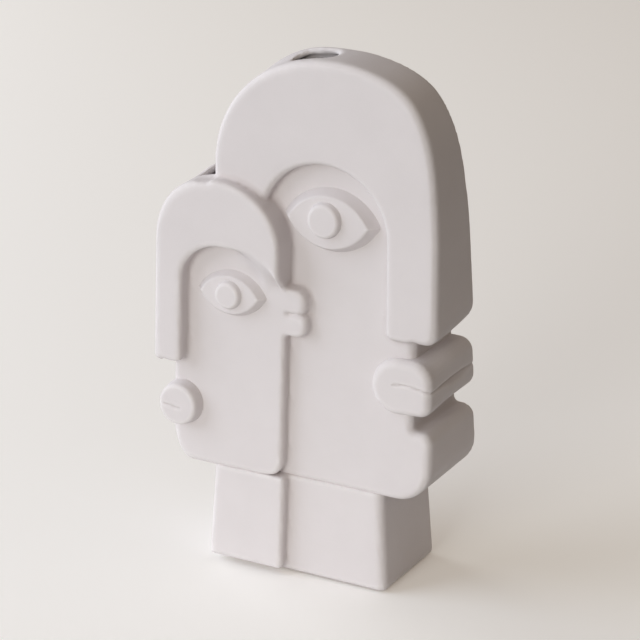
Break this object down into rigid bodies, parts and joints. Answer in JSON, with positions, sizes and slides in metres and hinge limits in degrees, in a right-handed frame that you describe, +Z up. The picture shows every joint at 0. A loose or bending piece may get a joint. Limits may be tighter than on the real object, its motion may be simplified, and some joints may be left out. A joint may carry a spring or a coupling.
{
  "type": "face vase",
  "caption": "Slab-built matte ceramic vase shaped as a large and a small abstract profile head on a shared stepped neck, with a flower mouth in each crown.",
  "frame": {"origin": "on the table, under the middle of the vase's box", "axes": "+Z up, +X towards the large head's nose, -Y towards the viewer of the faces, +Y towards the plain back"},
  "size_m": [0.17, 0.0762, 0.3012],
  "materials": {
    "bisque_stoneware": "matte unglazed bisque"
  },
  "bodies": {
    "root": {"back_slab": "bisque_stoneware", "large_face_slab": "bisque_stoneware", "large_brow_nose": "bisque_stoneware", "large_forehead_wall": "bisque_stoneware", "large_crown_wall": "bisque_stoneware", "large_jaw_wall": "bisque_stoneware", "large_eye": "bisque_stoneware", "large_iris": "bisque_stoneware", "large_upper_lip": "bisque_stoneware", "large_lower_lip": "bisque_stoneware", "small_face_slab": "bisque_stoneware", "small_head_wall": "bisque_stoneware", "small_brow_nose": "bisque_stoneware", "small_eye": "bisque_stoneware", "small_iris": "bisque_stoneware", "small_upper_lip": "bisque_stoneware", "small_lower_lip": "bisque_stoneware", "small_ear": "bisque_stoneware", "neck_wall": "bisque_stoneware", "small_neck_slab": "bisque_stoneware", "foot_slab": "bisque_stoneware"}
  },
  "joints": []
}
